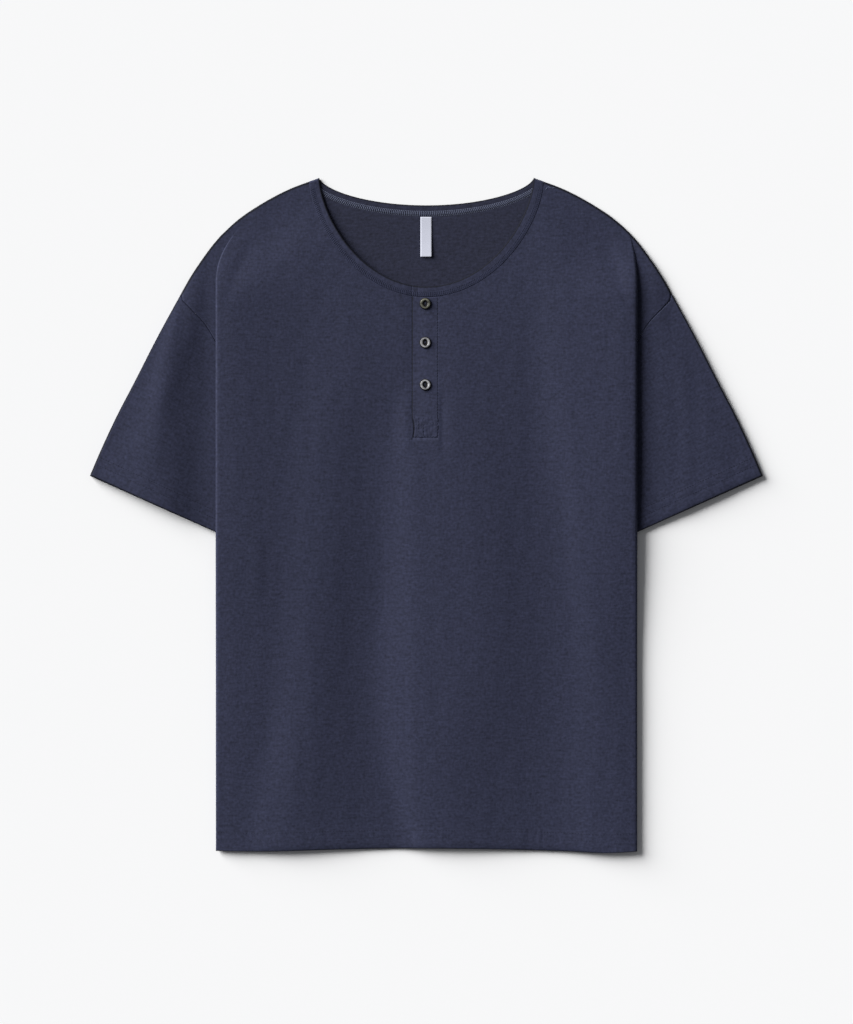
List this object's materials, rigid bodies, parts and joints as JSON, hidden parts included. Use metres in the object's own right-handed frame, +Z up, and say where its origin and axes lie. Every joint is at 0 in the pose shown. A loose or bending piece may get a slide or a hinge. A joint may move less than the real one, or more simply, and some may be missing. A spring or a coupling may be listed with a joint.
{
  "type": "henley shirt",
  "caption": "Short-sleeved collarless henley shirt with a buttoned half placket, laid flat face up, its sides tucked in over the sleeves.",
  "frame": {"origin": "middle of the shirt's outline, on the surface that it lies on", "axes": "+X to the wearer's left, +Y to the neck, +Z up from the surface, out of the shirt's front"},
  "size_m": [0.7196, 0.7211, 0.0139],
  "materials": {
    "cloth": "matt navy slub jersey",
    "cloth_inside": "matt navy jersey, wrong side out",
    "label": "woven satin tape",
    "button": "polished smoke grey shell look"
  },
  "bodies": {
    "root": {"front_panel": "cloth", "back_panel": "cloth_inside", "sleeve_left": "cloth", "sleeve_right": "cloth", "neckband_front": "cloth", "neckband_back": "cloth_inside", "placket": "cloth", "button_1": "button", "button_2": "button", "button_3": "button", "label": "label"}
  },
  "joints": []
}
